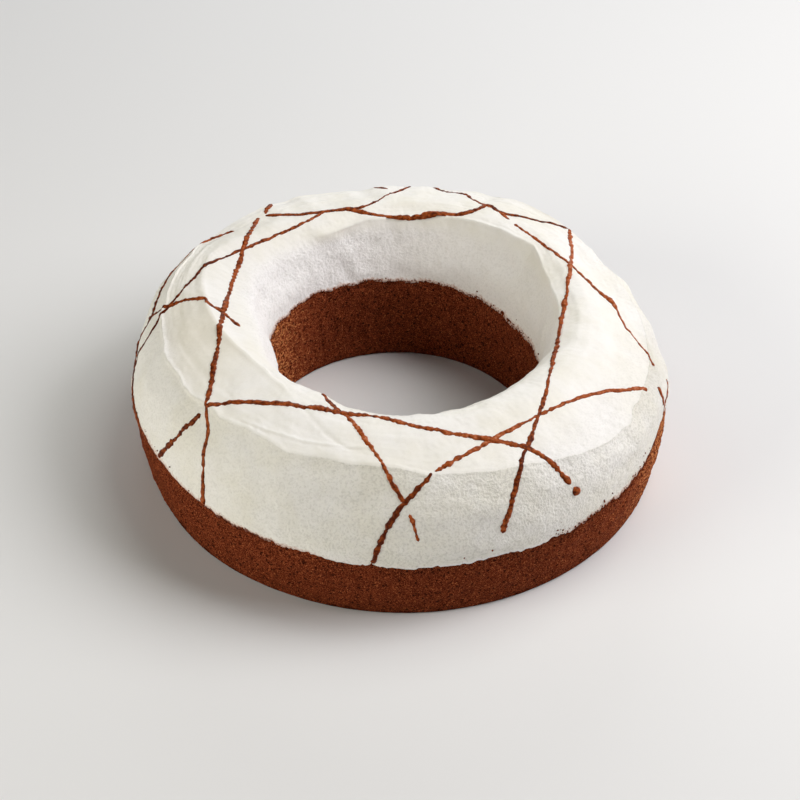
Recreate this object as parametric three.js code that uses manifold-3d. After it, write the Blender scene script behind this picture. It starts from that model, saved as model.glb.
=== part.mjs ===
// A ring cake: a solid sponge ring, a skin of frosting spread over its upper part,
// and thin chocolate drizzled across the frosting and set on it.
// Millimetres, +Z up, origin at the centre of the flat base.
import * as THREE from "three";
import { mergeVertices } from "three/addons/utils/BufferGeometryUtils.js";
import Module from "manifold-3d";

// Sponge ring
const holeBase = 59.3; // radius of the centre hole at the base
const holeRadius = 60.1; // and where its wall starts to round over
const holeWallTop = 39;
const baseRadius = 109.45; // outer wall at the base
const lowRadius = 112.1; // the wall swells quickly above the base
const lowHeight = 13;
const wallRadius = 113.2; // its widest ring
const wallHeight = 30;
const baseRound = 1.4; // small rounding of both bottom edges
const roundMiddle = 0.3; // share of it by which the middle of the rounding stands off
const domeRadius = 85; // middle of the hidden rounded top
const domeHeight = 63;
const innerRim = { inset: 5, rise: 11 }; // where the top leans away from the hole's wall
const outerRim = { inset: 3.5, rise: 16 }; // and from the outer wall
const innerHaunch = { inwards: 1, drop: 4 }; // halfway between the hole's wall and the middle
const outerHaunch = { drop: 6 };

// Frosting skin
const widestRadius = 114.2;
const widestHeight = 37;
const shoulderRadius = 101; // crease between the flat top and the side
const shoulderHeight = 62;
const crestRadius = 77.5; // highest line of the top
const crestHeight = 69.2;
const lipRadius = 69.5; // where the top turns down into the hole
const lipHeight = 66;
const gulletRadius = 64.8; // halfway down from that turn
const gulletHeight = 58.5;
const throatRadius = 61.2; // frosting on the wall of the hole
const throatHeight = 49;
const innerEdgeHeight = 40.4; // lower edge inside the hole
const outerEdgeHeight = 31.6; // lower edge on the side
const edgeThickness = 0.6;
const edgeWaves = [[5, 0.5], [13, 0.45], [29, 0.4]]; // waves round a ragged edge, and their heights
const innerPhase = 1.7; // turns the waves of the two edges apart
const outerPhase = 0.4;
const topBulge = { across: 0.55, down: 0.65, up: 0.8 }; // between the crest and the shoulder
const sideBulge = 2; // between the shoulder and the widest ring
const overhang = { edge: 0.8, throat: 1.1, gullet: 1.1, lip: 1 }; // shares of a swell into the hole
const gulletFollow = 1 / 2; // share by which the gullet follows the lip outwards
const throatSpan = 1 / 6; // share of the top's curve that stands upright in the hole
const skinGap = 0.35; // clearance between skin and sponge

// Drizzle
const strandRadius = 1.15;
const strandSides = 5;
const strandStep = 8; // length of one straight piece of a strand
const strandLift = 0.25; // height of the strand's middle above the frosting

// Facets
const azimuthSteps = 72;
const topStations = 12; // along the top, from the hole to the shoulder
const sideStations = 6; // along the side, from the shoulder to the lower edge
const spongeStations = 18; // along the sponge's line, from the base in the hole to the base outside
const coveredFrom = 2; // first and last of them that the frosting covers
const coveredTo = 14;
const closest = 0.006; // least step along the line between two of them
const halvings = 40; // of the stretch in which a place on a curve is sought

// Stretches of azimuth, in degrees, where the ring is wider or narrower and where the spatula
// left the frosting higher, wider or lower. The other numbers are what a swell does in its middle.
const swells = [
  { at: 24, width: 34, wallOut: -4 },
  { at: 270, width: 20, wallOut: 0.5 },
  { at: 356, width: 22, wallOut: 2.1 },
  { at: 208, width: 14, wallOut: -0.8 },
  { at: 8, width: 22, widestOut: -1.6 },
  { at: 350, width: 20, widestUp: 9 },
  { at: 357, width: 9, sideOut: -2 },
  { at: 358, width: 5, sideOut: -0.9 },
  { at: 22, width: 3, sideOut: 1.1 },
  { at: 158, width: 14, sideOut: 1.1 },
  { at: 262, width: 11, sideOut: -0.5 },
  { at: 24, width: 34, innerEdgeUp: -4 },
  { at: 115, width: 30, innerEdgeUp: 1 },
  { at: 280, width: 50, outerEdgeUp: -3 },
  { at: 350, width: 14, outerEdgeUp: 13 },
  { at: 358, width: 8, outerEdgeUp: 4 },
  { at: 219, width: 6, outerEdgeUp: 2.2 },
  { at: 249, width: 7, outerEdgeUp: 2 },
  { at: 24, width: 34, shoulderOut: -1.1, shoulderUp: -1.3 },
  { at: 40, width: 12, shoulderUp: -0.7 },
  { at: 56, width: 22, shoulderOut: 1.5, shoulderUp: 3.6 },
  { at: 78, width: 12, shoulderUp: -0.8 },
  { at: 102, width: 62, shoulderOut: -0.5, shoulderUp: 3.2, crestUp: 0.6 },
  { at: 108, width: 9, shoulderUp: -0.5 },
  { at: 128, width: 9, shoulderUp: 1.6 },
  { at: 146, width: 9, shoulderUp: -1 },
  { at: 155, width: 24, shoulderOut: 1.5, shoulderUp: 1.6 },
  { at: 165, width: 12, shoulderUp: 2.2 },
  { at: 188, width: 22, shoulderUp: -1.5 },
  { at: 200, width: 16, shoulderOut: 1.3, shoulderUp: -0.8 },
  { at: 250, width: 45, shoulderOut: -3.5, shoulderUp: 5.2 },
  { at: 330, width: 27, shoulderOut: 6, shoulderUp: -4 },
  { at: 160, width: 22, crestOut: 12 },
  { at: 190, width: 35, crestUp: 0.8 },
  { at: 212, width: 19, crestOut: -7.6 },
  { at: 7, width: 25, lipOut: -2.8 },
  { at: 40, width: 8, lipOut: 3.6, lipUp: 1.5, crestOut: 3.2 },
  { at: 64, width: 26, lipOut: 5.1, lipUp: 3.3, crestOut: 4.8 },
  { at: 104, width: 7, lipOut: 1.2, lipUp: 1.2 },
  { at: 110, width: 60, throatOut: 1.8 },
  { at: 136, width: 18, throatOut: -1.5 },
  { at: 140, width: 22, lipOut: 2.2 },
  { at: 152, width: 24, lipUp: -3, gulletUp: -2.5 },
  { at: 192, width: 32, lipUp: -2, gulletUp: -2.5, throatUp: -1.5, innerEdgeUp: -2 },
  { at: 186, width: 17, holeIn: 6.3 },
  { at: 211, width: 19, holeIn: 5.1 },
  { at: 239, width: 16, holeIn: 5.9 },
  { at: 272, width: 22, holeIn: 1.6 },
  { at: 317, width: 30, holeIn: 4.1 },
];

// Drizzle strands as poured from above: plan points x, y.
// A point outside the shoulder's crease lies that far down the side.
const strands = [
  [[-60, 82], [-61.4, 76.5], [-62.4, 71.6]],
  [[-65, 68.6], [-70, 41.2], [-74.1, -1.8], [-76, -61.3], [-78.4, -77.1], [-90.3, -100.8]],
  [[-113, -68.6], [-98, -69], [-87.7, -67.3], [-79.2, -64.9]],
  [[-76.2, -62.6], [-39.3, -66.8], [9, -78.2], [48.5, -82.2], [59.1, -86.9], [69.7, -92.4]],
  [[71.4, -93.3], [73.7, -94.5], [75.6, -95.4]],
  [[-114, 11.2], [-100.8, 4.1], [-93.1, 4.6], [-83.5, 2.7], [-66.7, -11]],
  [[-30.8, -54.4], [-20.4, -71.6], [-7, -95.1], [2.4, -111.2]],
  [[4.7, -115.6], [6.9, -120.3], [9.3, -126.6]],
  [[-11.3, -137.2], [-0.9, -115.8], [12.6, -99.4]],
  [[13.6, -98.4], [44.5, -74.2], [79.6, -46.8], [100.7, -37]],
  [[74.6, 74], [73.9, 44.3], [65.3, -12.4], [58.3, -50.3], [46.8, -89.3], [44.8, -119.1]],
  [
    [-61.9, 70.5], [-38.2, 70.1], [-27, 73.6], [-1.2, 71],
    [25.1, 71.9], [37.9, 80.2], [50.8, 72.1], [73.9, 69.2],
  ],
  [
    [-125, -9], [-111.9, -8.3], [-99.7, 1.6], [-83.9, 28.5],
    [-31.6, 72.8], [-15.4, 77.6], [0.8, 97.8], [8, 112],
  ],
  [[5, 110], [16.9, 97.3], [28.6, 91.7], [38.2, 79.1], [47, 68]],
  [[49.5, 64.6], [72.3, 34.2], [94.9, -3.1], [105.1, -21.8]],
  [[107.1, -31.5], [108.9, -35], [113.2, -37.4]],
  [[-14.4, 98.2], [-10.6, 96.6], [-7.6, 95.6]],
  [[-74.9, 59.4], [-96.5, 43], [-105.5, 21], [-114.5, 6], [-125.5, -7.2], [-125.6, -35.9], [-120.7, -55.9]],
];

const degrees = (radians) => THREE.MathUtils.radToDeg(radians);
const point = (r, z) => new THREE.Vector2(r, z);

// What the swells together do at an azimuth: each is a bell over the azimuth
function swell(azimuth, effect) {
  return swells.reduce((sum, { at, width, [effect]: most = 0 }) => {
    const away = THREE.MathUtils.euclideanModulo(degrees(azimuth) - at + 180, 360) - 180;
    return sum + most * Math.exp(-((away / width) ** 2));
  }, 0);
}

// Ragged line of a spread edge: a few waves that don't repeat together, about 1 mm high
function ragged(azimuth, phase) {
  return edgeWaves.reduce((sum, [count, high]) => sum + high * Math.sin(count * (azimuth + phase)), 0);
}

// Where along a stretch of a curve a test turns from true to false
function turningPoint(curve, from, to, isBefore) {
  let low = from;
  let high = to;
  for (let i = 0; i < halvings; i++) {
    const middle = (low + high) / 2;
    if (isBefore(curve.getPoint(middle))) low = middle;
    else high = middle;
  }
  return low;
}

// A place on a section's curve, moved off it to the left by a clearance
function beside(curve, share, clearance) {
  const along = curve.getTangent(share);
  return curve.getPoint(share).add(point(-along.y, along.x).multiplyScalar(clearance));
}

// The sponge's line at one azimuth: up the hole's wall, over the top and down the outer wall
function spongeLine(azimuth) {
  const out = swell(azimuth, "wallOut");
  const outer = wallRadius + out;
  return new THREE.SplineCurve([
    point(holeBase, 0),
    point(holeRadius, holeWallTop),
    point(holeRadius + innerRim.inset, holeWallTop + innerRim.rise),
    point((holeRadius + domeRadius) / 2 - innerHaunch.inwards, domeHeight - innerHaunch.drop),
    point(domeRadius, domeHeight),
    point((outer + domeRadius) / 2, domeHeight - outerHaunch.drop),
    point(outer - outerRim.inset, wallHeight + outerRim.rise),
    point(outer, wallHeight),
    point(lowRadius + out, lowHeight),
    point(baseRadius + out, 0),
  ]);
}

// Shares of the sponge's line at which the frosting's two edges lie on it
function edgeShares(azimuth, line) {
  const innerEdge = innerEdgeHeight + swell(azimuth, "innerEdgeUp") + ragged(azimuth, innerPhase);
  const outerEdge = outerEdgeHeight + swell(azimuth, "outerEdgeUp") + ragged(azimuth, outerPhase);
  return {
    inner: turningPoint(line, 0, 1 / 3, ({ y }) => y < innerEdge),
    outer: turningPoint(line, 2 / 3, 1, ({ y }) => y > outerEdge),
  };
}

// The frosting's outer face at one azimuth, from its edge in the hole to its edge on the side.
// The top and the side are two curves that meet in the crease at the shoulder.
function frostingFace(azimuth) {
  const by = (effect) => swell(azimuth, effect);
  const holeIn = by("holeIn");
  const lipOut = by("lipOut");
  const line = spongeLine(azimuth);
  const edges = edgeShares(azimuth, line);
  const crest = point(crestRadius + by("crestOut"), crestHeight + by("crestUp"));
  const shoulder = point(shoulderRadius + by("shoulderOut"), shoulderHeight + by("shoulderUp"));
  const widest = point(widestRadius + by("wallOut") + by("widestOut"), widestHeight + by("widestUp"));
  const bulge = point(
    THREE.MathUtils.lerp(crest.x, shoulder.x, topBulge.across),
    THREE.MathUtils.lerp(crest.y, shoulder.y, topBulge.down) + topBulge.up,
  );
  const top = new THREE.SplineCurve([
    beside(line, edges.inner, skinGap + edgeThickness).sub(point(overhang.edge * holeIn, 0)),
    point(throatRadius + by("throatOut") - overhang.throat * holeIn, throatHeight + by("throatUp")),
    point(gulletRadius + gulletFollow * lipOut - overhang.gullet * holeIn, gulletHeight + by("gulletUp")),
    point(lipRadius + lipOut - overhang.lip * holeIn, lipHeight + by("lipUp")),
    crest,
    bulge,
    shoulder,
  ]);
  const side = new THREE.SplineCurve([
    shoulder,
    shoulder.clone().lerp(widest, 1 / 2).addScalar(sideBulge + by("sideOut")),
    widest,
    beside(line, edges.outer, skinGap + edgeThickness),
  ]);
  return { top, side, line, edges };
}

// The sponge's closed section at one azimuth
function spongeSection(azimuth) {
  const line = spongeLine(azimuth);
  const middle = baseRound * roundMiddle;
  const first = line.getPoint(0).x;
  const last = line.getPoint(1).x;
  const from = turningPoint(line, 0, 1 / spongeStations, ({ y }) => y < baseRound);
  const to = turningPoint(line, 1 - 1 / spongeStations, 1, ({ y }) => y > baseRound);
  const between = Array.from({ length: spongeStations - 1 }, (_, i) => (i + 1) / spongeStations);
  return [
    point(first + baseRound, 0),
    point(first + middle, middle),
    ...[from, ...between, to].map((share) => line.getPoint(share)),
    point(last - middle, middle),
    point(last - baseRound, 0),
  ];
}

// The frosting's closed section at one azimuth: its outer face, then back along the sponge.
// The stations there are the sponge's own, moved along the line where an edge has passed them.
function frostingSection(azimuth) {
  const { top, side, line, edges } = frostingFace(azimuth);
  const covered = Array.from({ length: coveredTo - coveredFrom + 1 }, (_, i) => {
    const least = edges.inner + (i + 1) * closest;
    const most = edges.outer - (coveredTo - coveredFrom - i + 1) * closest;
    return THREE.MathUtils.clamp((coveredFrom + i) / spongeStations, least, most);
  });
  return [
    ...top.getPoints(topStations),
    ...side.getPoints(sideStations).slice(1),
    ...[edges.inner, ...covered, edges.outer].reverse().map((share) => beside(line, share, skinGap)),
  ];
}

// Sweeps a closed section round the Z axis, letting it change with the azimuth
function ring(sectionAt) {
  const sections = Array.from({ length: azimuthSteps }, (_, i) => {
    const azimuth = (2 * Math.PI * i) / azimuthSteps;
    return sectionAt(azimuth).map(
      ({ x, y }) => new THREE.Vector3(x * Math.cos(azimuth), x * Math.sin(azimuth), y),
    );
  });
  const count = sections[0].length;
  const index = [];
  for (let i = 0; i < azimuthSteps; i++) {
    const here = i * count;
    const next = ((i + 1) % azimuthSteps) * count;
    for (let k = 0; k < count; k++) {
      const after = (k + 1) % count;
      index.push(here + k, next + after, next + k);
      index.push(here + k, here + after, next + after);
    }
  }
  return new THREE.BufferGeometry().setFromPoints(sections.flat()).setIndex(index);
}

// The place on the frosting's outer face over a plan point, lifted off it along its normal
function onFrosting(x, y, lift) {
  const azimuth = Math.atan2(y, x);
  const radius = Math.hypot(x, y);
  const { top, side } = frostingFace(azimuth);
  const downSide = radius - side.points[0].x;
  const at = downSide < 0
    ? beside(top, turningPoint(top, throatSpan, 1, ({ x: reached }) => reached < radius), lift)
    : beside(side, side.getUtoTmapping(downSide / side.getLength()), lift);
  return new THREE.Vector3(at.x * Math.cos(azimuth), at.x * Math.sin(azimuth), at.y);
}

// A strand of drizzle: a smooth line in plan, laid on the frosting, with a many-sided round section
function strandGeometry(planPoints) {
  const plan = new THREE.SplineCurve(planPoints.map(([x, y]) => point(x, y)));
  const samples = Math.ceil(plan.getLength());
  const laid = plan.getSpacedPoints(samples).map(({ x, y }) => onFrosting(x, y, strandLift));
  const path = new THREE.CatmullRomCurve3(laid);
  const corners = Array.from({ length: strandSides }, (_, i) => {
    const turn = (2 * Math.PI * i) / strandSides;
    return point(strandRadius * Math.cos(turn), strandRadius * Math.sin(turn));
  });
  return new THREE.ExtrudeGeometry(new THREE.Shape(corners), {
    steps: Math.ceil(path.getLength() / strandStep),
    extrudePath: path,
    bevelEnabled: false,
  });
}

const wasm = await Module();
wasm.setup();

// A closed geometry as a solid for joining
function solid(geometry) {
  const bare = new THREE.BufferGeometry().setAttribute("position", geometry.getAttribute("position"));
  bare.setIndex(geometry.getIndex());
  const merged = mergeVertices(bare);
  return new wasm.Manifold(
    new wasm.Mesh({
      numProp: 3,
      vertProperties: new Float32Array(merged.getAttribute("position").array),
      triVerts: new Uint32Array(merged.getIndex().array),
    }),
  );
}

// A joined solid as a geometry again
function geometryOf(joined) {
  const { vertProperties, triVerts } = joined.getMesh();
  const geometry = new THREE.BufferGeometry();
  geometry.setAttribute("position", new THREE.BufferAttribute(vertProperties, 3));
  geometry.setIndex(new THREE.BufferAttribute(triVerts, 1));
  geometry.computeVertexNormals();
  return geometry;
}

function piece(name, geometry, look) {
  const mesh = new THREE.Mesh(geometry, new THREE.MeshStandardMaterial(look));
  mesh.name = name;
  return mesh;
}

const drizzled = strands.reduce(
  (sum, planPoints) => sum.add(solid(strandGeometry(planPoints))),
  solid(ring(frostingSection)),
);

const cake = new THREE.Group();
cake.add(piece("cake", ring(spongeSection), { color: 0x6e3a1f, roughness: 0.9, metalness: 0 }));
cake.add(piece("frosting", geometryOf(drizzled), { color: 0xf3eee2, roughness: 0.6, metalness: 0 }));

export default cake;
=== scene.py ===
import math

import bpy
import numpy as np
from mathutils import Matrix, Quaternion, Vector


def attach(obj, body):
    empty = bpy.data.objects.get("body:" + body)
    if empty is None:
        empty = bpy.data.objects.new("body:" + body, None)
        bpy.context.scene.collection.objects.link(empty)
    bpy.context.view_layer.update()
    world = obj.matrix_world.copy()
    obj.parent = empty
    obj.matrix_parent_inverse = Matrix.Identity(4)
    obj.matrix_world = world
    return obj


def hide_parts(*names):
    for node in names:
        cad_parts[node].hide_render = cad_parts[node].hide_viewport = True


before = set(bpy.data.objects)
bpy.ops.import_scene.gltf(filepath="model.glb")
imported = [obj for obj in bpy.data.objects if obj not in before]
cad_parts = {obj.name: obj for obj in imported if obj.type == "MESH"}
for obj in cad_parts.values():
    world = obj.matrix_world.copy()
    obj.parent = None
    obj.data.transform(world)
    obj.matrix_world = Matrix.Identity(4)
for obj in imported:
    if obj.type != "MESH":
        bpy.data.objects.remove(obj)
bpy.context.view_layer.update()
print("frame loaded:", sorted(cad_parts))

mm = 0.001  # shapes are worked out in millimetres


# Helpers for numpy surfaces

# Catmull-Rom curve through points[k, 2, n], the ends repeated, at shares 0..1 of it -> [m, 2, n].
# The shares are [m], or [m, n] where each column has its own. Where crisp[k, n] is 1 the curve
# turns a corner
def spline(points, shares, crisp=None):
    last = len(points) - 1
    place = np.asarray(shares, float) * last
    if place.ndim == 1:
        place = np.repeat(place[:, None], points.shape[2], 1)
    i = np.clip(np.floor(place).astype(int), 0, last - 1)
    columns = np.arange(points.shape[2])
    a, b, c, d = (np.moveaxis(points[np.clip(i + k, 0, last), :, columns], -1, 1) for k in (-1, 0, 1, 2))
    w = (place - i)[:, None]
    startSlope, endSlope = (c - a) / 2, (d - b) / 2
    if crisp is not None:
        startSlope = startSlope + crisp[i, columns][:, None] * (c - b - startSlope)
        endSlope = endSlope + crisp[i + 1, columns][:, None] * (c - b - endSlope)
    cubic = (2 * b - 2 * c + startSlope + endSlope) * w**3
    square = (3 * c - 3 * b - 2 * startSlope - endSlope) * w**2
    return cubic + square + startSlope * w + b


# Random grid smoothed in Fourier space, so it closes on itself: waves[0] and waves[1] are the
# shortest wavelengths kept along and across, in the units of steps; spread 1
def roughness(shape, steps, waves, seed):
    noise = np.random.default_rng(seed).standard_normal(shape)
    along = np.fft.fftfreq(shape[0], steps[0])[:, None] * waves[0]
    across = np.fft.fftfreq(shape[1], steps[1])[None, :] * waves[1]
    smooth = np.fft.ifft2(np.fft.fft2(noise) * np.exp(-(along**2) - across**2)).real
    return smooth / smooth.std()


# The same along one closed line of count places
def lineRoughness(count, step, wave, seed):
    return roughness((count, 1), (step, 1), (wave, 1), seed)[:, 0]


# The same on a grid whose rows lie at given lengths across it: a finer even grid is read there
def rowRoughness(count, step, lengths, waves, seed):
    fine = 0.5
    field = roughness((count, int(lengths[-1] / fine) + 2), (step, fine), waves, seed)
    j = np.floor(lengths / fine).astype(int)
    w = lengths / fine - j
    return field[:, j] * (1 - w) + field[:, j + 1] * w


def smoothStep(low, high, x):
    t = np.clip((x - low) / (high - low), 0, 1)
    return t * t * (3 - 2 * t)


# Quads of a grid of rows and columns that closes round its columns, and round its rows if asked
def gridQuads(rows, columns, closedRows):
    i = np.arange(rows if closedRows else rows - 1)[:, None]
    j = np.arange(columns)[None, :]
    nextRow, nextColumn = (i + 1) % rows, (j + 1) % columns
    row, below = i * columns, nextRow * columns
    corners = (row + j, row + nextColumn, below + nextColumn, below + j)
    return np.stack(np.broadcast_arrays(*corners), -1).reshape(-1, 4)


# Quads that close the two open ends of a tube grid, laid across each end ring
def capQuads(rows, columns):
    k = np.arange(columns // 2 - 1)
    first = np.stack([k, columns - 1 - k, columns - 2 - k, k + 1], -1)
    last = np.stack([k, k + 1, columns - 2 - k, columns - 1 - k], -1) + (rows - 1) * columns
    return np.concatenate([first, last])


# Unit normals of a closed grid[rows, columns, 3]: cross product of its two central differences
def gridNormals(grid):
    alongRows = np.roll(grid, -1, 0) - np.roll(grid, 1, 0)
    alongColumns = np.roll(grid, -1, 1) - np.roll(grid, 1, 1)
    normals = np.cross(alongColumns, alongRows)
    return normals / np.linalg.norm(normals, axis=-1, keepdims=True)


def makePiece(name, points, quads, material, replaced=()):
    mesh = bpy.data.meshes.new(name)
    mesh.vertices.add(len(points))
    mesh.vertices.foreach_set("co", (points * mm).astype(np.float32).ravel())
    mesh.loops.add(quads.size)
    mesh.loops.foreach_set("vertex_index", quads.astype(np.int32).ravel())
    mesh.polygons.add(len(quads))
    mesh.polygons.foreach_set("loop_start", np.arange(0, quads.size, 4, dtype=np.int32))
    mesh.polygons.foreach_set("use_smooth", np.ones(len(quads), bool))
    mesh.update(calc_edges=True)
    mesh.validate()
    mesh.materials.append(material)
    piece = bpy.data.objects.new(name, mesh)
    bpy.context.scene.collection.objects.link(piece)
    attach(piece, "root")
    if replaced:
        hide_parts(*replaced)
    print("piece", name, len(quads) * 2, "triangles")
    return piece


def storeValue(piece, name, values):
    attribute = piece.data.attributes.new(name, "FLOAT", "POINT")
    attribute.data.foreach_set("value", values.astype(np.float32).ravel())


# Ring shape: the part's driving sizes, with finer forms that only the scene has (mm; pairs are radius and
# height; azimuths in degrees)
ring = {
    "holeBase": (59.3, 0),
    "holeTop": (60.1, 39),
    "innerRim": (65.1, 50),
    "innerHaunch": (71.55, 59),
    "dome": (85, 63),
    "outerHaunchDrop": 6,
    "outerRim": (-3.5, 46),  # radius from the wall's
    "wall": (113.2, 30),
    "low": (112.1, 13),
    "base": (109.45, 0),
    "baseRound": 1.4,
    "widest": (114.2, 37),
    "shoulder": (101, 62),
    "crest": (77.5, 69.2),
    "lip": (69.5, 66),
    "gullet": (64.8, 58.5),
    "throat": (61.2, 49),
    "innerEdge": 40.4,
    "outerEdge": 31.6,
    "edgeWaves": ((5, 0.5), (13, 0.45), (29, 0.4)),  # waves round a ragged edge, and their heights
    "edgePhases": (1.7, 0.4),  # turns of these waves in the hole and on the wall
    "lipLine": {  # stretch where the lip of the hole is a sharp edge
        "az": (-26, -14, 0, 5, 18, 30, 36, 40, 49, 56, 67, 78, 92, 103, 109, 115, 130),
        "r": (66.3, 66.3, 66.3, 66.7, 67.1, 69.9, 73, 74.9, 73.9, 74.5, 74.2, 73.5, 70.9, 71.4, 69.8,
              68.4, 67),
        "z": (66, 66, 66, 66, 66, 67, 68.2, 69, 69, 69, 69, 69, 67.5, 68, 67, 66.5, 66),
    },
    "crestLine": {  # stretch where a flat outer band meets the inner slope in an edge
        "az": (144, 158, 167, 177, 186, 193, 208, 218, 228, 242),
        "r": (90, 90.3, 87.6, 82.9, 79.6, 76.6, 71.5, 69.6, 70.6, 74),
        "z": (69.8, 70, 70, 70.2, 70.4, 70.5, 70.2, 69.7, 69.4, 69.3),
    },
    "swells": {  # stretches where a size grows: middle and half width in degrees, and by how much
        "wallOut": ((24, 34, -4), (270, 20, 0.5), (356, 22, 2.1), (208, 14, -0.8)),
        "widestOut": ((8, 22, -1.6),),
        "widestUp": ((350, 20, 9),),
        "sideOut": ((357, 9, -2), (158, 14, 1.1), (262, 11, -1.4), (22, 3, 1.1), (358, 5, -0.9)),
        "outerEdgeUp": ((280, 50, -3), (350, 14, 13), (358, 8, 4), (219, 6, 2.2), (249, 7, 2)),
        "shoulderOut": (
            (24, 34, -1.1), (56, 22, 1.5), (102, 62, -0.5), (155, 24, 1.5), (200, 16, 1.3), (250, 45, -3.5),
            (330, 27, 6),
        ),
        "shoulderUp": (
            (24, 34, -1.3), (40, 12, -0.7), (56, 22, 3.6), (78, 12, -0.8), (102, 62, 3.2), (108, 9, -0.5),
            (128, 9, 1.6), (146, 9, -1), (155, 24, 1.6), (165, 12, 2.2), (200, 16, -0.8), (188, 22, -1.5),
            (250, 45, 5.2), (330, 27, -4),
        ),
        "crestOut": ((160, 22, 12), (212, 19, -7.6), (40, 8, 3.2), (64, 26, 4.8)),
        "crestUp": ((102, 62, 0.6), (190, 35, 0.8)),
        "lipOut": ((7, 25, -2.8), (40, 8, 3.6), (64, 26, 5.1), (104, 7, 1.2), (140, 22, 2.2)),
        "lipUp": ((40, 8, 1.5), (64, 26, 3.3), (104, 7, 1.2), (152, 24, -3), (192, 32, -2)),
        "gulletUp": ((152, 24, -2.5), (192, 32, -2.5)),
        "throatOut": ((110, 60, 1.8), (136, 18, -1.5)),
        "throatUp": ((192, 32, -1.5),),
        "innerEdgeUp": ((24, 34, -4), (115, 30, 1), (192, 32, -2)),
        "holeIn": ((186, 17, 6.3), (211, 19, 5.1), (239, 16, 5.9), (272, 22, 1.6), (317, 30, 4.1)),
    },
    "bumps": (  # azimuths and heights of small bumps along the shoulder
        (30, -1), (46, 0.6), (67, -0.7), (85, 0.75), (95.5, 0.7), (101.5, -0.9), (118, 1), (123.5, -0.8),
    ),
    "bumpWidth": 3,
    "lipPlace": 3,  # places of lip and crest among the points of the top
    "crestPlace": 4,
    "edgeIn": 0.8,  # shares of holeIn by which the edge in the hole, and the throat and gullet, move in
    "throatIn": 1.1,
    "gulletOut": 0.5,  # share of lipOut by which the gullet moves out
    "creaseFall": 0.45,  # how far the crease drops for each mm that it wanders out
    "crestAcross": 0.3,  # share of the way from a sharp lip to the shoulder at which the crest lies
    "bulgeAcross": 0.55,  # the bulge between crest and shoulder: share of the way across and down, and its
    "bulgeDrop": (0.65, -0.1),  # height, the last two with what a sharp crest adds
    "bulgeUp": (0.8, -0.6),
    "sideBulge": 2,
}


# Bell over the azimuth, 1 at its middle
def bell(azimuth, middle, width):
    away = (np.degrees(azimuth) - middle + 180) % 360 - 180
    return np.exp(-((away / width) ** 2))


# What the swells of one size together do at an azimuth: each is a bell
def swell(azimuth, effect):
    return sum(most * bell(azimuth, at, width) for at, width, most in ring["swells"][effect])


def ragged(azimuth, phase):
    return sum(high * np.sin(count * (azimuth + phase)) for count, high in ring["edgeWaves"])


# One radius and height of the ring at every azimuth, moved out and up
def ringPoint(azimuth, name, out=0, up=0):
    radius, height = ring[name]
    return radius + out + 0 * azimuth, height + up + 0 * azimuth


# Radius and height of a line given by azimuth, and how much it counts: all, fading at both ends
def lineAt(line, azimuth):
    az, margin = line["az"], 20
    turned = (np.degrees(azimuth) - az[0] + margin) % 360 + az[0] - margin
    fade = smoothStep(az[0], az[1], turned) * (1 - smoothStep(az[-2], az[-1], turned))
    return np.array([np.interp(turned, az, line[key]) for key in ("r", "z") if key in line]), fade


# The sponge's line as curve points [k, 2, n]: up the hole's wall, over the top and down the outer wall
def spongeLine(azimuth):
    out = swell(azimuth, "wallOut")
    wall = ringPoint(azimuth, "wall", out)
    dome = ringPoint(azimuth, "dome")
    return np.array([
        ringPoint(azimuth, "holeBase"),
        ringPoint(azimuth, "holeTop"),
        ringPoint(azimuth, "innerRim"),
        ringPoint(azimuth, "innerHaunch"),
        dome,
        ((wall[0] + dome[0]) / 2, dome[1] - ring["outerHaunchDrop"]),
        ringPoint(azimuth, "outerRim", wall[0]),
        wall,
        ringPoint(azimuth, "low", out),
        ringPoint(azimuth, "base", out),
    ])


# Share of the line between two shares at which it passes a height, sought by halving
def shareAt(line, low, high, height, rising):
    low, high = low + 0 * height, high + 0 * height
    halvings = 30
    for _ in range(halvings):
        middle = (low + high) / 2
        reached = spline(line, middle[None])[0, 1]
        before = reached < height if rising else reached > height
        low, high = np.where(before, middle, low), np.where(before, high, middle)
    return low


# Places on a line moved off it to the left by a clearance
def beside(line, shares, clearance):
    step = 1e-4
    along = spline(line, np.minimum(shares + step, 1)) - spline(line, np.maximum(shares - step, 0))
    along /= np.linalg.norm(along, axis=1, keepdims=True)
    return spline(line, shares) + clearance * np.stack([-along[:, 1], along[:, 0]], 1)


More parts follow.
